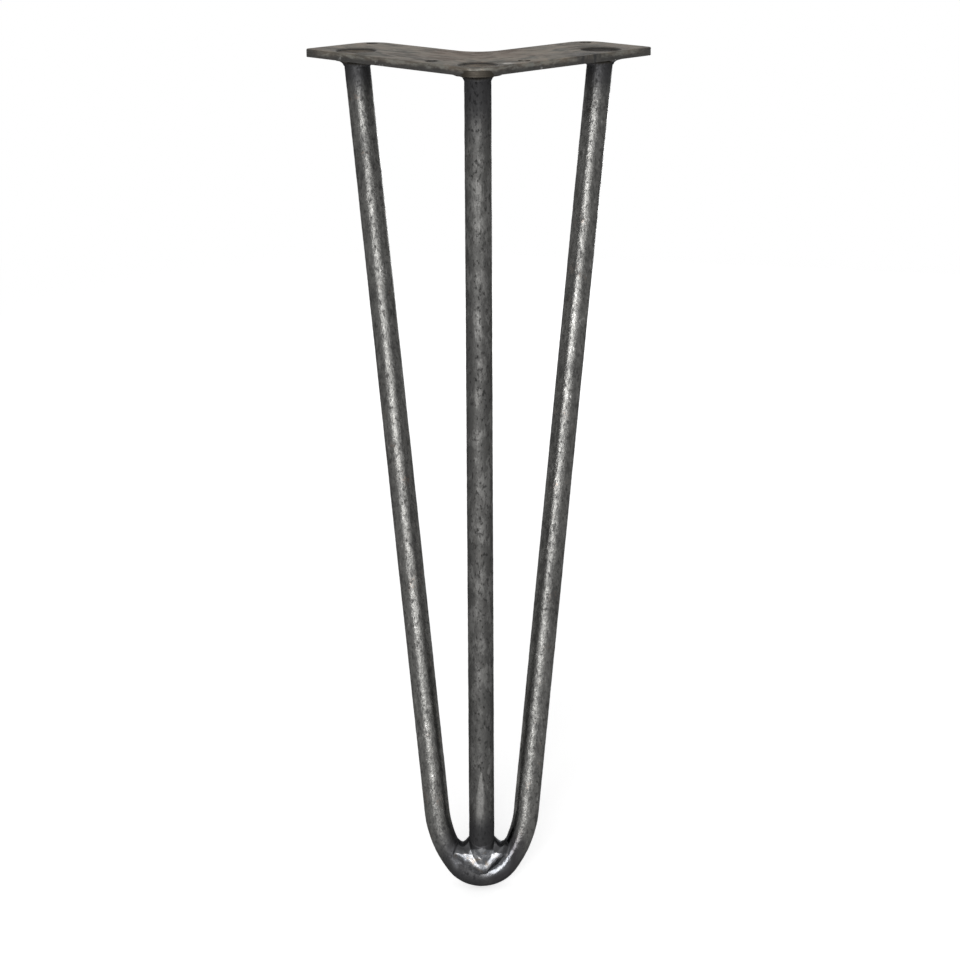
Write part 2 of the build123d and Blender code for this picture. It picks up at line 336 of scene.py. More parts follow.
class LegLayout:
    """Places worked out from the sizes: the bent bar's plane, its bends and the bars' axes."""

    def __init__(self, sizes):
        self.sizes = sizes
        self.radius = sizes.bar_diameter / 2
        self.tight, self.wide = sizes.foot_bend_radius, sizes.side_bend_radius
        self.turn = sizes.foot_bend_half_angle
        self.side_top = np.array(sizes.side_bar_top)
        self.corner_top = np.array(sizes.corner_bar_top)
        self.foot = np.array([0, self.corner_top[1] - sizes.foot_lead, self.radius - sizes.leg_height])
        self.bead_up, self.bead_front = self.radius + sizes.bead_rise, sizes.bead_lead
        rise = np.array([0, self.side_top[1], 0]) - self.foot
        self.up = unit(rise)
        self.front = np.cross(ACROSS, self.up)
        tighter = self.tight - self.wide
        across, down = math.sin(self.turn) * tighter, math.cos(self.turn) * tighter
        self.wide_centre = np.array([across, self.tight - down])
        to_top = np.array([self.side_top[0], np.linalg.norm(rise)]) - self.wide_centre
        back_to_touch = math.acos(self.wide / np.linalg.norm(to_top))
        self.arm_turn = math.atan2(to_top[1], to_top[0]) - back_to_touch + math.pi / 2
        outward = np.array([math.sin(self.arm_turn), -math.cos(self.arm_turn)])
        self.arm_touch = self.wide_centre + self.wide * outward
        self.tight_end = self.tight * self.turn
        self.wide_end = self.tight_end + self.wide * (self.arm_turn - self.turn)

    def in_space(self, across, up, front):
        """Points of the part from places in the bent bar's plane."""
        across, up, front = (np.asarray(value)[..., None] for value in (across, up, front))
        return self.foot + across * ACROSS + up * self.up + front * self.front

    def in_plane(self, points):
        """Places in the bent bar's plane, across, up and to the front, of points of the part."""
        offset = points - self.foot
        return offset @ ACROSS, offset @ self.up, offset @ self.front

    def bent_axis(self, run):
        """The bent bar's axis in its plane at a run from its lowest point, negative on the left: across, up,
        and the turn of its direction. It is the tight arc, then the wide arc, then the straight arm."""
        side, far = np.sign(run), np.abs(run)
        in_tight = far < self.tight_end
        wide_angle = np.minimum(self.turn + (far - self.tight_end) / self.wide, self.arm_turn)
        angle = np.where(in_tight, far / self.tight, wide_angle)
        straight = np.maximum(far - self.wide_end, 0)
        sine, cosine = np.sin(angle), np.cos(angle)
        across = np.where(in_tight, self.tight * sine, self.wide_centre[0] + self.wide * sine)
        up = np.where(in_tight, self.tight - self.tight * cosine, self.wide_centre[1] - self.wide * cosine)
        across = side * (across + straight * math.cos(self.arm_turn))
        return across, up + straight * math.sin(self.arm_turn), side * angle

    def arm_end(self, around):
        """Run at which a line along an arm's skin comes to the level end of the bar."""
        tilt = np.cos(around) * self.front[2] + np.sin(around) * math.cos(self.arm_turn) * self.up[2]
        level = (-self.sizes.bar_end_depth - self.foot[2] - self.radius * tilt) / self.up[2]
        return self.wide_end + (level - self.arm_touch[1]) / math.sin(self.arm_turn)

    def bar_down(self, name):
        """Upper end of a bar's axis and the bar's direction down from there."""
        if name == "corner":
            return self.corner_top, unit(self.foot - self.corner_top)
        side = -1 if name == "left" else 1
        touch = self.in_space(side * self.arm_touch[0], self.arm_touch[1], 0.0)
        top = self.side_top * np.array([side, 1, 1])
        return top, unit(touch - top)

    def axis_at(self, name, depth):
        """Point of a bar's axis at a depth below the plate's top face."""
        top, down = self.bar_down(name)
        return top + np.asarray(depth)[..., None] * down / -down[2]

    def bend_reach(self, across, around, inset):
        """Reach from the foot weld's axis to a surface just inside the bent bar's skin, in sections across
        the leg. Past the tight bend's end, the distance is taken from the wide bend's arc."""
        side = np.abs(across)

        def in_bar(reach):
            up, front = self.bead_up + reach * np.sin(around), self.bead_front + reach * np.cos(around)
            off_tight = np.hypot(side, up - self.tight) - self.tight
            off_wide = np.hypot(side - self.wide_centre[0], up - self.wide_centre[1]) - self.wide
            past_tight = side * math.cos(self.turn) > (self.tight - up) * math.sin(self.turn)
            return np.hypot(np.where(past_tight, off_wide, off_tight), front) < self.radius - inset

        return furthest(0.0, 4 * self.radius, in_bar, 30)

    def scrape_and_highlight_mark(self, surface, across, up, front):
        """A spear-shaped scraped patch on the corner bar's front, paler so as to paint a highlight there as
        well: 1 inside a leaning oval that narrows upwards.
        """
        (middle_across, middle_up), (half_width, half_length) = surface.scrape_and_highlight_place, surface.scrape_and_highlight_size
        narrower, lean, bar_lean = 0.65, 0.048, 0.15
        over_middle = up - middle_up
        spear = half_width * (1 - narrower * ramp_up(over_middle, -0.2 * half_length, half_length))
        aside = across - middle_across - lean * over_middle
        off_middle = np.hypot(aside / spear, over_middle / half_length)
        return (front > bar_lean * up) * (1 - ramp_up(off_middle, 0.65, 1.05))

    def bar_marks(self, points, dull, surface):
        """Marks on the bars from 0 to 1: dull and dark by heat under the plate and round the foot weld,
        smooth and dark on the foot weld's right, bright from grinding beside its ends in a lighter colour
        that also paints a sheen, scraped, and how dull the whole bar is, which is less in the corner bar's
        scraped patch, paler to paint a highlight as well, and below 0 where the right bar is rubbed smooth."""
        below_plate = -points[..., 2] - self.sizes.plate_thickness
        across, up, front = self.in_plane(points)
        from_bead = np.sqrt(across ** 2 + (up - self.bead_up) ** 2 + (front - self.bead_front) ** 2)
        by_bead = 1 - ramp_up(from_bead, *FOOT_HEAT)
        right, far_left = ramp_up(across, *GRIND_SHEEN_RIGHT), ramp_up(-across, *GRIND_SHEEN_LEFT)
        upper = ramp_up(up - GRIND_SHEEN_RISE * np.abs(across), *GRIND_SHEEN_UP)
        # Grinding marks beside the foot weld, whose lighter colour also paints a sheen there
        ground = (1 - ramp_up(from_bead, *FOOT_GRIND_SHEEN)) * np.maximum(right, far_left) * upper * (1 - dull)
        burnish = np.maximum(ground, by_bead * right * (1 - dull))
        hot, cool = PLATE_HEAT
        by_plate = 1 - ramp_up(below_plate, hot, cool + CORNER_HEAT_MORE * dull)
        scorch = np.maximum(by_plate, by_bead - burnish)
        rubbed = ramp_up(across, *RUB_RIGHT) * ramp_up(up, *RUB_UP) * (1 - dull)
        # The scraped patch on the corner bar is paler and less dull: partly a scrape, partly a painted
        # highlight
        scrape = dull * self.scrape_and_highlight_mark(surface, across, up, front)
        return {"scorch": scorch, "burnish": burnish, "ground": ground, "scrape": scrape,
                "dull": dull - RUB_GAIN * rubbed - scrape}


def hairpin_grid(layout, surface):
    """The bent bar's skin: a circle of the worn radius carried along the axis, each line along it ending
    level under the plate. The circle stands on the plane's normal and on the normal of the axis in that
    plane."""
    rows, columns = 1200, 64
    around = ring(columns) + math.pi
    share = np.linspace(-1, 1, rows)
    arm_end = layout.arm_end(around)
    across, up, turn = layout.bent_axis(share[:, None] * arm_end[None, :])
    radius = worn_radius(layout.sizes, surface, surface.seed, share * arm_end.mean(), around)
    inward = radius * np.sin(around)
    across, up = across - inward * np.sin(turn), up + inward * np.cos(turn)
    return layout.in_space(across, up, radius * np.cos(around))


def corner_grid(layout, surface):
    """The corner bar's skin: a circle of the worn radius carried down a straight axis, from a level upper
    end to the saddle where each line first comes within the bend's skin."""
    rows, columns = 560, 64
    sizes = layout.sizes
    around = ring(columns) + math.pi
    top, down = layout.bar_down("corner")
    front = unit(np.cross(down, ACROSS))
    front = front if front[1] < 0 else -front
    full = layout.radius * (np.cos(around)[:, None] * front + np.sin(around)[:, None] * ACROSS)
    start = (-sizes.bar_end_depth - full[:, 2]) / down[2]
    lowest = np.full(columns, np.linalg.norm(layout.foot - top) - layout.radius + sizes.cope_lap)

    def in_bend(run):
        across, up, out = layout.in_plane(top + run[:, None] * down + full)
        from_axis = np.hypot(np.hypot(across, up - layout.tight) - layout.tight, out)
        return from_axis < layout.radius - sizes.cope_lap

    saddle = furthest(lowest, lowest - layout.tight, in_bend, 40)
    run = start + np.linspace(0, 1, rows)[:, None] * (saddle - start)
    radius = worn_radius(sizes, surface, surface.seed + CORNER_SEED, run.mean(axis=1), around)
    return top + run[..., None] * down + (radius / layout.radius)[..., None] * full


def nose_climb(sizes, surface, from_front, wobble, lump, lap, hidden):
    """Rings of weld that climb the plate's rounded nose in level ripples, highest at the front, where they
    stand out from the nose. Elsewhere they lie hidden in the plate. Gives how far they face the front, and
    the rings' radii and depths."""
    steps, climb, waver, swollen, sunk = 40, 0.0027, 0.0003, 0.0001, 0.0001
    level = np.linspace(0, 1, steps)[:, None]
    facing = 1 - ramp_up(from_front, *CLIMB_FADE)
    top = sizes.plate_thickness - facing * climb + waver * wobble * facing
    ripple = np.sin(4 * math.pi * level + 1.1 * wobble + 3.0 * from_front ** 2)
    swell = np.sin(math.pi * level) ** 0.5 * (
        swollen + 0.2 * surface.ripple_height * ripple + 0.3 * surface.lump_height * lump)
    depth = top + level * (sizes.plate_thickness + lap - top)
    out = (sizes.nose_radius - hidden) * (1 - facing) + facing * (sizes.nose_radius - sunk + swell)
    return facing, out, depth


def fillet_grid(layout, surface, name, seed):
    """A hollow fillet weld round a bar under the plate: a quarter of an oval from the plate to the bar,
    carried round the bar and closed inside both. Ripples run across the bead in crescents, and lumps swell
    its rim, most of all at the front. At the plate's corner the bead also climbs the rounded nose."""
    sizes = layout.sizes
    columns, steps, hidden, nose_lap = 360, 44, 0.0006, 0.0004
    ripples, bow, lump_share, lump_floor = 27, 2.2, 0.22, -0.3
    around = ring(columns)
    from_front = np.abs((around + math.pi / 2 + math.pi) % FULL_TURN - math.pi)
    front = 1 - ramp_up(from_front, *LUMPS_FADE)
    share = np.linspace(0, 1, steps)[:, None]
    turn = share * math.pi / 2
    draw = np.random.default_rng(seed)
    wobble = random_waves(draw, range(2, 9), around, 0.3)
    crescent = ripples * around + wobble + bow * (share - 0.5) ** 2 * math.pi
    ripple = np.abs(np.cos(crescent / 2)) ** 0.7 * np.sin(math.pi * share) ** 0.6
    lump = np.clip(random_waves(draw, range(5, 16), around, 0.2) + 0.5 * front, lump_floor, None)
    lump = lump * np.exp(-((share - lump_share) / lump_share) ** 2)
    raised = surface.ripple_height * ripple + surface.lump_height * lump * np.sin(math.pi * share) ** 0.5
    reach = layout.radius / -layout.bar_down(name)[1][2] + sizes.weld_toe
    out = reach + sizes.weld_leg * (1 - np.sin(turn)) + raised * np.sin(turn)
    depth = sizes.plate_thickness + sizes.weld_drop * (1 - np.cos(turn)) + raised * np.cos(turn)
    in_bar_out = np.full((1, columns), layout.radius - hidden)
    in_plate_depth = np.full((1, columns), sizes.plate_thickness - hidden)
    lower_depth = depth[-1:]
    if name == "corner":
        facing, climb_out, climb_depth = nose_climb(
            sizes, surface, from_front, wobble, lump[:1], nose_lap, hidden)
        pull = (1 - share) ** 3
        out = out + pull * (climb_out[-1] - out[0]) * facing
        depth = depth + pull * facing * nose_lap
        rings = np.concatenate([in_bar_out, climb_out, out, in_bar_out])
        depths = np.concatenate([in_plate_depth, climb_depth, depth, lower_depth])
        first = 1 + len(climb_out)
    else:
        rings = np.concatenate([out, in_bar_out, in_bar_out])
        depths = np.concatenate([depth, lower_depth, in_plate_depth])
        first = 0
    spokes = np.stack([np.cos(around), np.sin(around), np.zeros(columns)], axis=-1)
    toe, clean = np.zeros((2, *rings.shape))
    last = first + steps
    toe[first:last], toe[last] = share - 0.3 * front, 1
    clean[first:last] = np.clip(lump, 0, 0.4)
    return layout.axis_at(name, depths) + rings[..., None] * spokes, {"toe": toe, "clean": clean}


def plug_grid(node, surface, seed, fill):
    """A plug weld in a bar's socket: a dish of spiral ripples over a cone that follows the socket's chamfer.
    Gives its rings and the points that close them above and below."""
    lower, upper = (np.array(corner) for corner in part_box(node))
    middle, rim = (lower + upper) / 2, (upper[0] - lower[0]) / 2 + fill
    top = upper[2] + fill
    columns, steps, spirals, dish, sunk, shrink = 180, 48, 5.5, 0.0004, 0.0001, 0.00003
    around = ring(columns)
    share = np.linspace(0, 1, steps + 1)[1:, None]
    draw = np.random.default_rng(seed)
    swirl = spirals * share * FULL_TURN - around + draw.uniform(0, FULL_TURN)
    lump = sum(
        draw.uniform(0.2, 1) * np.cos(
            count * around + 4 * share * draw.uniform(-1, 1) + draw.uniform(0, FULL_TURN))
        for count in range(1, 7)) / 3
    ripple = surface.ripple_height * 0.8 * np.abs(np.sin(swirl / 2))
    raised = ripple + surface.lump_height * 0.4 * lump * share
    deepest, highest = -0.0003, 0.0005 - 0.8 * fill
    raised = np.clip(raised * (1 - share ** 8), deepest, highest)
    height = top - dish * (1 - share ** 2) - sunk + raised
    foot = lower[2] + shrink
    foot_out = np.full((1, columns), rim - (top - lower[2]) - shrink)
    out = np.concatenate([np.broadcast_to(share * (rim - shrink), height.shape), foot_out])
    height = np.concatenate([height, np.full((1, columns), foot)])
    grid = np.stack([middle[0] + out * np.cos(around), middle[1] + out * np.sin(around), height], axis=-1)
    return grid, np.array([*middle[:2], height[0].mean()]), np.array([*middle[:2], foot])


def power_mean(limits, power):
    """The least of some reaches, given as one over each, with softened edges: a root of a sum of powers."""
    return sum(limit ** power for limit in np.broadcast_arrays(*limits)) ** (-1 / power)


def face(towards, distance):
    """One over the reach to a flat face: how far each spoke heads towards it, over the face's distance."""
    return np.clip(towards, 0, None) / distance


class FootBead:
    """The foot weld: sections across the leg, each a closed curve round one level axis, by spokes. A
    section's reach is the power mean of a blunt oval, a shelf on the front, its underside, its fall above,
    the back face, facets and the round notches beside the corner bar. A skin of weld over the corner bar's
    round front stands through the shelf and leaves a V of it. The ends are faired into the bent bar by a
    sum of powers, and small waves roughen it all."""
    # Where its parts fade into each other, in metres: its ends into the bend, and its edges over the crest
    ENDS_FADE, CREST_FADE = (0.0080, 0.0105), (0.0002, 0.0018)
    # The shelf's narrowing to the left, and its underside's change of slope from left to right
    NARROW_FADE, UNDER_FADE = (0.004, 0.0135), (-0.002, 0.003)
    # The bright band of the shelf: beside the skin, over the crest, on the left and on the right
    BAND_SIDE, BAND_TOP = (-0.0003, 0.0001), (0, 0.0012)
    BAND_LEFT, BAND_RIGHT = (-0.0142, -0.0128), (0.0095, 0.0110)
    # Clean metal: aside from the corner bar, at its upper edge and at the lip
    CLEAN_ASIDE, CLEAN_TOP, CLEAN_LIP = (0.0055, 0.0075), (-0.0012, 0.0008), (-0.0006, 0.0003)

    def __init__(self, layout, surface):
        self.layout, self.surface, self.sizes = layout, surface, layout.sizes
        rows, columns = 190, 300
        self.lean = np.linspace(-math.pi / 2, math.pi / 2, rows + 2)[1:-1, None]
        self.around = ring(columns)[None, :]
        self.across = self.sizes.bead_half_width * np.sin(self.lean)
        self.to_front, self.to_up = np.cos(self.around), np.sin(self.around)
        self.centre_up, self.centre_front = layout.bead_up, layout.bead_front
        self.lip, self.crest = self.shelf_edges()

    def shelf_edges(self):
        """How far up the shelf's lip and its crest lie: a wavering V with two slopes, and a band above it
        that narrows to the left."""
        surface, across = self.surface, self.across
        aside = across - surface.lip_place[0]
        slope = np.where(aside < 0, surface.lip_slopes[0], surface.lip_slopes[1])
        waver = sum(height * np.sin(across * FULL_TURN / wave + phase)
                    for height, wave, phase in SHELF_WAVES)
        lip = surface.lip_place[1] + slope * np.abs(aside) + waver
        lip = np.minimum(lip, self.centre_up + surface.lip_climb)
        narrower = 0.65 * ramp_up(-across, *self.NARROW_FADE)
        return lip, lip + surface.shelf_width * (1 - narrower) - 0.7 * waver

    def notch_floor(self):
        """How far up the notches leave the weld: hollows beside the corner bar, rounder on its side."""
        layout, sizes = self.layout, self.sizes
        bar_curve, bend_curve = 1.75, 2.2
        notch_up = layout.radius + sizes.notch_rise
        bend_side = layout.wide_centre[0] + math.sqrt(
            (layout.wide - layout.radius) ** 2 - (notch_up - layout.wide_centre[1]) ** 2)
        notch_radius = (bend_side - layout.radius) / 2 + sizes.notch_lap
        from_notch = (np.abs(self.across) - (bend_side + layout.radius) / 2) / notch_radius
        curve = np.where(from_notch < 0, bar_curve, bend_curve)
        return notch_up - notch_radius * (1 - np.minimum(np.abs(from_notch), 1) ** curve)

    def reaches(self):
        """Reach along each spoke to the weld with its shelf, and to its skin over the corner bar."""
        layout, surface, sizes = self.layout, self.surface, self.sizes
        across, to_front, to_up = self.across, self.to_front, self.to_up
        centre_up, centre_front = self.centre_up, self.centre_front
        blunt, edges, nearly_level = 2.4, 30, 1e-3
        bar_front = np.cross(layout.bar_down("corner")[1], ACROSS)
        front_up, front_out = bar_front @ layout.up, bar_front @ layout.front
        to_bar_front = front_up * to_up + front_out * to_front
        centre_over = front_up * centre_up + front_out * centre_front
        swell = 1 + 0.1 * ramp_up(to_front, 0.1, 0.5) * ramp_up(-to_up, 0.1, 0.5)
        height = sizes.bead_half_height * swell
        oval = 1 / (height * (1 - np.abs(np.sin(self.lean)) ** blunt) ** (1 / blunt))
        back = face(-to_bar_front, layout.radius + sizes.bead_proud + centre_over)
        notch = face(to_up, self.notch_floor() - centre_up)
        lean, fall_slope = surface.shelf_slope, surface.fall_slope
        shelf = face(lean * to_up + to_front, surface.shelf_front - lean * centre_up - centre_front)
        on_left, on_right = surface.under_slopes
        to_right = ramp_up(across - surface.lip_place[0], *self.UNDER_FADE)
        under_slope = on_left + (on_right - on_left) * to_right
        lip_front = surface.shelf_front - lean * self.lip
        under = face(to_front - under_slope * to_up,
                     lip_front - centre_front + under_slope * (centre_up - self.lip))
        crest_front = surface.shelf_front - lean * self.crest
        fall = face(fall_slope * to_up + to_front,
                    fall_slope * (self.crest - centre_up) + crest_front - centre_front)
        limits = [oval, back, notch, shelf, under, fall]
        for side, rise, out, reach in FOOT_FACETS:
            size = math.sqrt(side ** 2 + rise ** 2 + out ** 2)
            limits.append(face(rise * to_up + out * to_front, reach * size - side * across))
        half_chord = np.sqrt(np.clip((layout.radius + surface.weld_skin) ** 2 - across ** 2, 0, None))
        over_bar = np.clip(to_bar_front, nearly_level, None) / (half_chord - centre_over)
        return power_mean(limits, edges), power_mean([over_bar, oval, back, notch], edges)

    def rough_field(self, seed, up, front):
        """Smooth random height in space: a sum of plane waves of random heading, phase and length, the long
        ones higher."""
        count, shortest, longest = 60, 0.0020, 0.0070
        draw = np.random.default_rng(seed)
        wave = draw.uniform(shortest, longest, count)
        heads = draw.normal(size=(count, 3))
        heads *= (FULL_TURN / wave / np.linalg.norm(heads, axis=1))[:, None]
        phases = draw.uniform(0, FULL_TURN, count)
        at = np.stack(np.broadcast_arrays(self.across, up, front), axis=-1)
        return np.cos(at @ heads.T + phases) @ (wave / wave.max()) / math.sqrt(count)

    def at_reach(self, section):
        """Places up and to the front at a reach along each spoke."""
        return self.centre_up + section * self.to_up, self.centre_front + section * self.to_front

    def grid(self, seed):
        """The weld's points, its marks and the points that close its two ends."""
        layout, surface, across, crest = self.layout, self.surface, self.across, self.crest
        plain, skin = self.reaches()
        crisp, soft, fair = 36, 12, 14
        over_crest = self.centre_up + np.maximum(plain, skin) * self.to_up - crest
        sharp = crisp - (crisp - soft) * ramp_up(over_crest, *self.CREST_FADE)
        bead = (plain ** sharp + skin ** sharp) ** (1 / sharp)
        bend_inset, by_ends = 0.00015, ramp_up(np.abs(across), *self.ENDS_FADE)
        bend = layout.bend_reach(across, self.around, bend_inset) * (0.5 + 0.5 * by_ends)
        section = (bead ** fair + bend ** fair) ** (1 / fair)
        own = (bead / section) ** fair
        up, front = self.at_reach(section)
        facing = ramp_up(np.broadcast_to(self.to_front, up.shape), 0.15, 0.6)
        behind = ramp_up(np.broadcast_to(-self.to_front, up.shape), 0.2, 0.6)
        band = ramp_up(plain - skin, *self.BAND_SIDE) * (1 - ramp_up(up - crest, *self.BAND_TOP))
        band = band * ramp_up(across, *self.BAND_LEFT) * (1 - ramp_up(across, *self.BAND_RIGHT))
        rough = self.rough_field(seed, up, front)
        all_over, in_front, less_on_band, raised = 0.00004, 0.00016, 0.00013, 0.00008
        roughness = (all_over + facing * (in_front - less_on_band * band)) * np.tanh(rough)
        section = section + own * (roughness + raised * facing * (1 - band))
        bow = 0.012 * ((up - self.centre_up) / self.sizes.bead_half_height) ** 2 * (0.5 + 0.1 * rough)
        ripple = np.abs(np.cos(math.pi * (across + bow) / surface.ripple_step)) ** 0.7
        section = section - surface.ripple_height * behind * (1 - ripple)
        up, front = self.at_reach(section)
        clean = self.clean_mark(up, rough, facing, behind, band)
        ends = [layout.in_space(side * self.sizes.bead_half_width, self.centre_up, self.centre_front)
                for side in (-1, 1)]
        points = layout.in_space(np.broadcast_to(across, up.shape), up, front)
        return points, {"toe": 1.0, "clean": clean}, ends

    def clean_mark(self, up, rough, facing, behind, band):
        """How clean the weld metal is: most on the shelf's band, less above and below it."""
        edge_up, crown, half_crown, waver = 0.0122, 0.0030, 0.0065, 0.0006
        edge = edge_up + crown * np.exp(-(self.across / half_crown) ** 4) + waver * np.tanh(rough)
        middle = 1 - ramp_up(np.abs(self.across), *self.CLEAN_ASIDE)
        below_edge = 1 - ramp_up(up - edge, *self.CLEAN_TOP)
        clean = facing * below_edge * np.maximum(0.22 + 0.33 * middle, band)
        over_lip = ramp_up(up - self.lip, *self.CLEAN_LIP)
        clean = clean * over_lip + 0.33 * facing * (1 - over_lip)
        return np.maximum(clean, 0.2 + 0.2 * behind)


# Materials

def put(tree, socket, value):
    """Links a socket to another, or sets its own value."""
    if isinstance(value, bpy.types.NodeSocket):
        tree.links.new(value, socket)
    else:
        socket.default_value = value


def add_node(tree, kind, inputs, output=0, **settings):
    """A node with its settings, and its inputs by name or number; gives one of its outputs."""
    node = tree.nodes.new(kind)
    for key, value in settings.items():
        setattr(node, key, value)
    for key, value in inputs.items():
        put(tree, node.inputs[key], value)
    return node.outputs[output]


class Finish:
    """A material and the few kinds of node that the leg's finishes are made of."""

    def __init__(self, name):
        self.material = bpy.data.materials.new(name)
        self.material.use_nodes = True
        self.tree = self.material.node_tree
        self.object_place = self.add("ShaderNodeTexCoord", {}, "Object")

    def add(self, kind, inputs, output=0, **settings):
        """A node of this material; gives one of its outputs."""
        return add_node(self.tree, kind, inputs, output, **settings)

    def apart(self, place):
        """The three numbers of a place or heading."""
        split = self.tree.nodes.new("ShaderNodeSeparateXYZ")
        put(self.tree, split.inputs[0], place)
        return split.outputs

    def point(self, x, y, z=0.0):
        """A place from three numbers."""
        return self.add("ShaderNodeCombineXYZ", {0: x, 1: y, 2: z})

    def stretch(self, scale, place=None, turn=(0, 0, 0)):
        """Coordinates turned and stretched along the axes."""
        place = place or self.object_place
        return self.add("ShaderNodeMapping", {"Vector": place, "Scale": scale, "Rotation": turn})

    def noise(self, scale, detail, rough, place=None, bend=0.0):
        """Noise from about 0 to 1."""
        return self.add("ShaderNodeTexNoise", {
            "Vector": place or self.object_place, "Scale": scale, "Detail": detail, "Roughness": rough,
            "Distortion": bend})

    def sums(self, operation, first, second=0.0, third=0.0):
        """A sum on numbers."""
        return self.add("ShaderNodeMath", {0: first, 1: second, 2: third}, operation=operation)

    def times(self, first, second):
        """Product of two numbers."""
        return self.sums("MULTIPLY", first, second)

    def plus(self, value, share, rest):
        """A share of a number, and another number."""
        return self.sums("MULTIPLY_ADD", value, share, rest)

    def most(self, first, *others):
        """Greatest of some numbers."""
        for other in others:
            first = self.sums("MAXIMUM", first, other)
        return first

    def span(self, value, low, high, to_low=0.0, to_high=1.0):
        """A number's share of a range, smoothed, in another range."""
        return self.add("ShaderNodeMapRange", {
            "Value": value, "From Min": low, "From Max": high, "To Min": to_low, "To Max": to_high},
            interpolation_type="SMOOTHSTEP")

    def mix(self, share, first, second):
        """Mix of two colours."""
        first, second = (value if isinstance(value, bpy.types.NodeSocket) else (*value, 1)
                         for value in (first, second))
        return self.add("ShaderNodeMix", {0: share, 6: first, 7: second}, output=2, data_type="RGBA")

    def coat(self, base, mark, strength, over):
        """A colour over another where a mark is, up to a strength."""
        return self.mix(self.times(mark, strength), base, over)

    def bump(self, height, strength, depth, under=None):
        """Normal of a relief of the given depth in metres."""
        inputs = {"Height": height, "Strength": strength, "Distance": depth}
        if under:
            inputs["Normal"] = under
        return self.add("ShaderNodeBump", inputs)

    def painted(self, name):
        """The number that a piece's points hold under a name."""
        return self.add("ShaderNodeAttribute", {}, output="Fac", attribute_name=name)

    def away(self, place, point):
        """Distance of a place from a point."""
        return self.add("ShaderNodeVectorMath", {0: place, 1: tuple(point)}, "Value", operation="DISTANCE")

    def steel(self, base, rough, normal, edge, metallic=1.0):
        """Sets the shader as steel: colour, roughness and relief, and how much it brightens at its edges."""
        inputs = {"Base Color": base, "Roughness": rough, "Normal": normal, "Metallic": metallic,
                  "Specular Tint": edge}
        for name, value in inputs.items():
            put(self.tree, self.tree.nodes["Principled BSDF"].inputs[name], value)
        return self.material


def bar_finish(colours):
    """Hot-rolled bar: dark mill scale worn to grey in patches, bare flecks, thin rust, heat-darkened ends,
    lighter grinding marks by the foot weld that also paint a sheen, and a bare scraped patch that also
    paints a highlight."""
    f = Finish("bar_steel_scale")
    mottle = f.noise(45, 4, 0.6)
    flake = f.noise(420, 6, 0.65, place=f.stretch((1, 1, 0.4)))
    grain = f.noise(1150, 3, 0.6, place=f.stretch((1, 1, 0.7)))
    worn = f.span(f.noise(170, 5, 0.7, place=f.stretch((1, 1, 0.45))), 0.47, 0.60)
    pits = f.span(f.noise(720, 3, 0.6, place=f.stretch((1, 1, 0.55))), 0.53, 0.67)
    rusty = f.times(f.span(f.noise(130, 5, 0.7), 0.58, 0.72), f.span(grain, 0.45, 0.6))
    scorch, burnish, ground, scrape, dull = (
        f.painted(mark) for mark in ("scorch", "burnish", "ground", "scrape", "dull"))
    tone = f.plus(flake, 0.5, f.plus(mottle, 0.25, f.times(grain, 0.25)))
    base = f.mix(f.span(tone, 0.40, 0.54), colours.scale_dark, colours.scale_mid)
    base = f.mix(f.span(tone, 0.55, 0.66), base, colours.bare_steel)
    base = f.coat(base, rusty, 0.5, colours.rust)
    base = f.coat(base, dull, 0.83, colours.scale_dark)
    base = f.coat(base, f.times(dull, worn), 0.26, colours.bare_steel)
    base = f.coat(base, pits, 0.65, colours.pit_and_shade_dark)
    # Paler scraped patch on the corner bar, also a painted highlight
    base = f.coat(base, scrape, f.span(flake, 0.35, 0.6, 0.2, 0.5), colours.bare_steel)
    base = f.coat(base, scorch, 0.92, colours.heat_dark)
    base = f.coat(base, burnish, 0.95, colours.heat_purple)
    # Lighter grinding marks by the foot weld, also a painted sheen
    base = f.coat(base, ground, 0.9, colours.weld_grey)
    rough = f.plus(scorch, 0.22, f.span(tone, 0.38, 0.64, 0.36, 0.24))
    rough = f.plus(dull, 0.24, f.plus(pits, 0.25, f.plus(burnish, -0.15, rough)))
    normal = f.bump(flake, f.plus(burnish, -0.16, 0.22), 0.0004)
    normal = f.bump(grain, f.plus(burnish, -0.3, 0.42), 0.0004, under=normal)
    return f.steel(base, rough, normal, edge=(0.45, 0.45, 0.45, 1))


def weld_finish(colours):
    """Weld metal: brown at the plate, dark towards the bars, silvery with tints of heat where it is clean,
    and like the plate where the plugs are nearly flush."""
    f = Finish("weld_steel_bead")
    cloud = f.noise(300, 4, 0.6)
    fine = f.noise(1100, 4, 0.6)
    toe = f.plus(cloud, 0.5, f.painted("toe"))
    clean = f.span(f.plus(fine, 0.4, f.painted("clean")), 0.4, 0.75)
    dull = f.mix(f.span(toe, 0.4, 0.95), colours.weld_brown, colours.heat_dark)
    bright = f.mix(f.span(cloud, 0.42, 0.60), colours.weld_grey, colours.weld_silver)
    tint = f.span(f.noise(340, 3, 0.5), 0.54, 0.68)
    bright = f.coat(bright, tint, 0.5, colours.weld_straw)
    rough = f.plus(clean, -0.24, f.span(fine, 0.3, 0.7, 0.47, 0.57))
    plated = f.painted("plated")
    like_plate = f.mix(f.span(f.noise(110, 5, 0.6), 0.30, 0.72), colours.plate_brown, colours.plate_dark)
    base = f.mix(plated, f.mix(clean, dull, bright), like_plate)
    edge = f.mix(plated, (0.35, 0.35, 0.35), (0.6, 0.6, 0.6))
    return f.steel(base, rough, f.bump(fine, 0.25, 0.0002), edge)


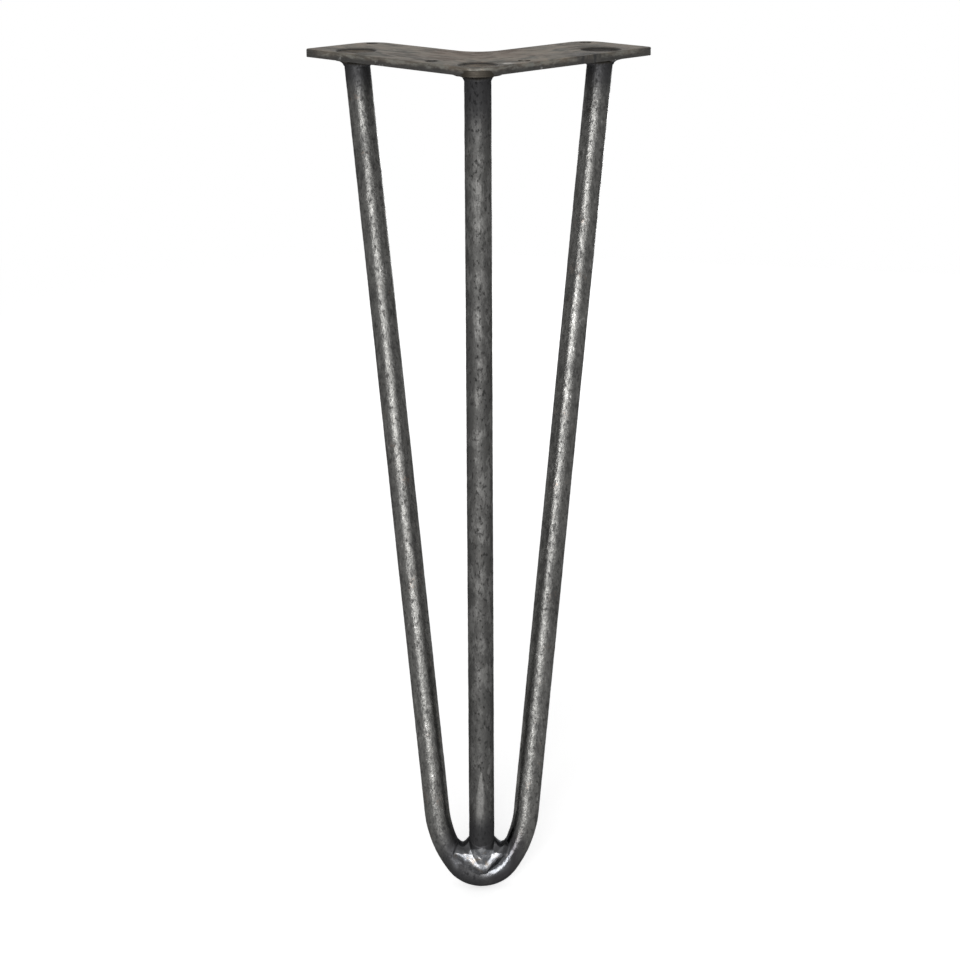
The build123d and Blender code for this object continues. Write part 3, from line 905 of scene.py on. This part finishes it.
def plate_finish(colours, sizes, surface):
    """Hot-rolled plate: warm and cool bands along both arms, stains and thin rust, heat rings round the
    bars, darker cut sides, weld smoke, painted shade in a screw hole and the socket chamfers, and a bright
    scuffed spot that also paints a highlight."""
    f = Finish("plate_steel_raw")
    x, y, z = f.apart(f.object_place)
    side = f.sums("ABSOLUTE", x)
    along = f.sums("ADD", side, y)
    arm = f.point(f.times(along, 0.4), f.sums("SUBTRACT", y, side),
                  f.sums("ADD", f.span(x, -0.022, 0.022, -0.013, 0.013), z))
    mirrored = f.point(side, y, z)
    # Bands, stains and bare flecks
    bands = f.noise(110, 5, 0.55, place=arm, bend=0.9)
    stains = f.noise(75, 6, 0.65)
    fine = f.noise(1000, 4, 0.65)
    broad = f.span(f.noise(32, 4, 0.55, bend=0.5), 0.40, 0.66, 0, 0.45)
    stain = f.span(f.plus(bands, 0.5, f.times(stains, 0.5)), 0.46, 0.64)
    base = f.mix(f.span(bands, 0.34, 0.66), colours.plate_brown, colours.plate_grey)
    base = f.mix(broad, base, colours.plate_dark)
    base = f.coat(base, stain, 0.75, colours.plate_dark)
    base = f.coat(base, f.span(fine, 0.52, 0.7), 0.3, colours.bare_steel)
    # Heat rings round the bars, and thin rust towards the inner corner
    from_bars = (f.away(mirrored, top) for top in (sizes.corner_bar_top, sizes.side_bar_top))
    nearest = f.sums("MINIMUM", *from_bars)
    heat = f.span(f.plus(stains, 0.008, nearest), 0.0135, 0.0175, 0.7, 0)
    base = f.mix(heat, base, colours.plate_dark)
    inner = f.span(f.away(mirrored, sizes.plate_inner_corner), 0.012, 0.040, 0.2, 0)
    rusty = f.span(f.sums("ADD", f.noise(110, 6, 0.7, bend=0.6), inner), 0.50, 0.74, 0, 0.5)
    base = f.mix(rusty, base, colours.rust)
    # Cut sides with upright drag lines, darkest along their lower edge and at the arms' ends
    upright = f.apart(f.add("ShaderNodeTexCoord", {}, "Normal"))[2]
    cut = f.span(f.sums("ABSOLUTE", upright), 0.35, 0.9, 0.65, 0)
    drag = f.noise(1, 5, 0.6, place=f.stretch((170, 170, 500)))
    base = f.mix(cut, base, f.mix(f.span(drag, 0.42, 0.62), colours.plate_dark, colours.plate_grey))
    burr = f.span(f.plus(drag, 0.003, z), -0.0013, 0.0007, 0.85, 0)
    tip = f.span(along, sizes.arm_tip_sum - 0.030, sizes.arm_tip_sum, 0, 1.3)
    # Painted shade in the screw hole and the socket chamfers, and weld smoke
    screw = sizes.screw_diameter / 2
    # Painted shade on the screw hole's wall, reaching a little onto its rim
    hole = f.span(f.away(f.point(x, y), sizes.left_screw), screw, 1.25 * screw, 0.9, 0)
    streaks = f.noise(1, 4, 0.6, place=f.stretch((420, 420, 60)))
    smoke = f.span(f.away(f.object_place, surface.smoke_place), 0.005, surface.smoke_radius, 1, 0)
    smoke = f.times(smoke, f.span(streaks, 0.35, 0.6, 0.5, 1))
    # Painted shade on the socket chamfers just below the top face
    recess_shade = f.times(f.span(z, -0.0006, -0.0001, 0.9, 0), f.span(nearest, 0.0103, 0.0112, 1, 0))
    # Burr, darker arm ends, weld smoke and the painted shade of the hole and chamfers, all in the dark pit
    # colour
    dark = f.most(burr, f.times(cut, tip), recess_shade, hole, smoke)
    base = f.mix(dark, base, colours.pit_and_shade_dark)
    fleck = f.span(f.noise(210, 4, 0.6), 0.64, 0.72, 0, 0.55)
    base = f.mix(fleck, base, colours.bare_steel)
    # Bright scuffed spot, drawn out along the right arm: bare metal, with a painted highlight in its pale
    # colour
    drawn_out = (0.68, 1, 1)
    along_arm = f.stretch(drawn_out, place=f.stretch((1, 1, 1), turn=(0, 0, -math.pi / 4)))
    scuff_glint_place = [value * share for value, share in zip(surface.scuff_glint_place, drawn_out)]
    scuff_glint = f.span(f.away(along_arm, scuff_glint_place), 0.0006, surface.scuff_glint_radius, 1, 0)
    patchy = f.span(f.noise(800, 3, 0.6, place=along_arm), 0.36, 0.56, 0.35, 1)
    base = f.coat(base, scuff_glint, patchy, colours.plate_bright)
    rough = f.plus(stain, 0.15, f.span(bands, 0.35, 0.65, 0.44, 0.56))
    metallic = f.plus(f.most(stain, heat, broad, dark), -0.4, 1.0)
    normal = f.bump(f.noise(320, 6, 0.65), 0.3, 0.0005)
    normal = f.bump(fine, 0.3, 0.0002, under=normal)
    return f.steel(base, rough, normal, edge=(0.6, 0.6, 0.6, 1), metallic=metallic)


# Operators

class LEG_OT_bars(Operator):
    """Dress the bent bar and the corner bar as pitted, mill-scaled steel"""
    bl_idname = "leg.bars"
    bl_label = "Bars"

    def execute(self, context):
        scene = context.scene
        layout, surface = LegLayout(scene.leg_sizes), scene.leg_surface
        finish = bar_finish(scene.leg_colours)
        hairpin = hairpin_grid(layout, surface)
        marks = layout.bar_marks(hairpin, 0.0, surface)
        ends = hairpin[0].mean(axis=0), hairpin[-1].mean(axis=0)
        make_piece("bent_bar", hairpin, BAR_SLOT, ["hairpin_bar"], finish, marks, *ends)
        corner = corner_grid(layout, surface)
        marks = layout.bar_marks(corner, 1.0, surface)
        saddle = layout.foot - layout.bar_down("corner")[1] * (layout.radius - layout.sizes.cope_lap)
        ends = corner[0].mean(axis=0), saddle
        make_piece("straight_bar", corner, BAR_SLOT, ["corner_bar"], finish, marks, *ends)
        return {"FINISHED"}


class LEG_OT_plate(Operator):
    """Finish the mounting plate as raw hot-rolled steel"""
    bl_idname = "leg.plate"
    bl_label = "Mounting plate"

    def execute(self, context):
        scene = context.scene
        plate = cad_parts["mounting_plate"]
        finish = plate_finish(scene.leg_colours, scene.leg_sizes, scene.leg_surface)
        for slot in plate.material_slots:
            slot.material = finish
        return {"FINISHED"}


class LEG_OT_plate_welds(Operator):
    """Dress the fillet welds under the plate and the plug welds in its sockets"""
    bl_idname = "leg.plate_welds"
    bl_label = "Plate welds"

    def execute(self, context):
        scene = context.scene
        layout, surface = LegLayout(scene.leg_sizes), scene.leg_surface
        finish = weld_finish(scene.leg_colours)
        for seed, (name, (fill, plated)) in enumerate(PLUGS.items(), surface.seed):
            grid, marks = fillet_grid(layout, surface, name, seed + FILLET_SEED)
            make_piece(f"{name}_fillet_bead", grid, WELD_SLOT, [f"{name}_plate_weld"], finish, marks)
            grid, *ends = plug_grid(f"{name}_plug_weld", surface, seed + PLUG_SEED, fill)
            marks = {"toe": 0.2, "clean": 0.35, "plated": plated}
            make_piece(f"{name}_plug_bead", grid, WELD_SLOT, [f"{name}_plug_weld"], finish, marks, *ends)
        return {"FINISHED"}


class LEG_OT_foot_weld(Operator):
    """Dress the bead that joins the corner bar to the bend"""
    bl_idname = "leg.foot_weld"
    bl_label = "Foot weld"

    def execute(self, context):
        scene = context.scene
        surface = scene.leg_surface
        grid, marks, ends = FootBead(LegLayout(scene.leg_sizes), surface).grid(surface.seed + BEAD_SEED)
        finish = weld_finish(scene.leg_colours)
        make_piece("foot_bead", grid, WELD_SLOT, ["foot_weld"], finish, marks, *ends)
        return {"FINISHED"}


def aimed(obj, place_at, target, roll=0.0):
    """Puts a lamp or a camera at a place, turned to a target and rolled."""
    obj.location = place_at
    turn = (Vector(target) - Vector(place_at)).to_track_quat("-Z", "Y")
    obj.rotation_euler = (turn @ Quaternion((0, 0, 1), roll)).to_euler()
    bpy.context.scene.collection.objects.link(obj)


def soft_light(name, place_at, size, power):
    """An upright rectangle of light that faces the leg."""
    light = bpy.data.lights.new(name, "AREA")
    light.shape, light.energy = "RECTANGLE", power
    light.size, light.size_y = size
    aimed(bpy.data.objects.new(name, light), place_at, (0, 0, place_at[2]))


def white_rays(tree):
    """One for the rays that show the background: from the camera, from gloss and through glass."""
    rays = tree.nodes.new("ShaderNodeLightPath").outputs
    shown = rays["Is Camera Ray"]
    for name in ("Is Glossy Ray", "Is Transmission Ray"):
        shown = add_node(tree, "ShaderNodeMath", {0: shown, 1: rays[name]}, operation="MAXIMUM")
    return shown


def floor_white(stage, middle):
    """Matt white that takes the shadow near the leg, and shows as plain white further out."""
    material = bpy.data.materials.new("floor_white")
    material.cycles.emission_sampling = "NONE"
    material.use_nodes = True
    tree = material.node_tree
    tree.nodes.clear()
    matt = add_node(tree, "ShaderNodeBsdfDiffuse", {"Color": (*stage.floor_colour, 1)})
    lift = add_node(tree, "ShaderNodeEmission", {"Strength": stage.floor_lift})
    white = add_node(tree, "ShaderNodeEmission", {})
    where = add_node(tree, "ShaderNodeTexCoord", {}, "Object")
    from_leg = add_node(tree, "ShaderNodeVectorMath", {0: where, 1: middle}, "Value", operation="DISTANCE")
    share = add_node(tree, "ShaderNodeMapRange", {
        "Value": from_leg, "From Min": stage.near_floor, "From Max": stage.far_floor},
        interpolation_type="SMOOTHSTEP")
    near = add_node(tree, "ShaderNodeAddShader", {0: matt, 1: lift})
    far = add_node(tree, "ShaderNodeMixShader", {0: share, 1: near, 2: white})
    seen = add_node(tree, "ShaderNodeMixShader", {0: white_rays(tree), 1: matt, 2: far})
    put(tree, tree.nodes.new("ShaderNodeOutputMaterial").inputs["Surface"], seen)
    return material


class LEG_OT_stage(Operator):
    """Make the floor, the light and the camera"""
    bl_idname = "leg.stage"
    bl_label = "Stage"

    def execute(self, context):
        scene, stage = context.scene, context.scene.leg_stage
        scene.view_settings.view_transform = "Standard"
        self.make_floor(scene, stage)
        self.make_sky(scene, stage)
        for name in ("key", "fill", "back"):
            settings = (getattr(stage, f"{name}_{field}") for field in ("place", "size", "power"))
            soft_light(f"{name}_light", *settings)
        camera = bpy.data.cameras.new("camera")
        camera.lens = stage.camera_lens
        scene.camera = bpy.data.objects.new("camera", camera)
        aimed(scene.camera, stage.camera_place, stage.camera_target, stage.camera_roll)
        return {"FINISHED"}

    def make_floor(self, scene, stage):
        """Round floor under the foot."""
        sides = 96
        around = ring(sides)
        level = -scene.leg_sizes.leg_height
        out = stage.floor_radius
        rim = np.stack([out * np.cos(around), out * np.sin(around), np.full(sides, level)], axis=-1)
        mesh = bpy.data.meshes.new("floor")
        mesh.from_pydata(rim, [], [list(range(sides))])
        floor = bpy.data.objects.new("floor", mesh)
        scene.collection.objects.link(floor)
        mesh.materials.append(floor_white(stage, (0, 0, level)))

    def make_sky(self, scene, stage):
        """White all round: at full white where it shows, and weaker as light."""
        scene.world = bpy.data.worlds.new("studio")
        scene.world.cycles.sampling_method = "NONE"
        scene.world.use_nodes = True
        tree = scene.world.node_tree
        shown = white_rays(tree)
        level = add_node(tree, "ShaderNodeMapRange", {"Value": shown, "To Min": stage.sky_strength})
        background = tree.nodes["Background"]
        put(tree, background.inputs["Color"], (1, 1, 1, 1))
        put(tree, background.inputs["Strength"], level)


class LEG_PT_finish(Panel):
    """Sizes, colours and steps of the leg's finish"""
    bl_label = "Hairpin Leg Finish"
    bl_space_type = "VIEW_3D"
    bl_region_type = "UI"
    bl_category = "Leg"

    def draw(self, context):
        for operator in OPERATORS:
            self.layout.operator(operator.bl_idname)
        for name, group in GROUPS.items():
            box = self.layout.box()
            box.label(text=group.__doc__)
            for field in group.__annotations__:
                box.prop(getattr(context.scene, name), field)


GROUPS = {
    "leg_sizes": LegSizes,
    "leg_surface": LegSurface,
    "leg_colours": LegColours,
    "leg_stage": StageSettings,
}
OPERATORS = (LEG_OT_bars, LEG_OT_plate, LEG_OT_plate_welds, LEG_OT_foot_weld, LEG_OT_stage)
CLASSES = (*GROUPS.values(), *OPERATORS, LEG_PT_finish)


def register():
    for kind in CLASSES:
        bpy.utils.register_class(kind)
    for name, group in GROUPS.items():
        setattr(bpy.types.Scene, name, PointerProperty(type=group))


def unregister():
    for name in GROUPS:
        delattr(bpy.types.Scene, name)
    for kind in reversed(CLASSES):
        bpy.utils.unregister_class(kind)


def main():
    """Builds the dressed leg and its stage."""
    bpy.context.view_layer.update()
    register()
    bpy.ops.leg.bars()
    bpy.ops.leg.plate()
    bpy.ops.leg.plate_welds()
    bpy.ops.leg.foot_weld()
    bpy.ops.leg.stage()


if __name__ == "__main__":
    main()
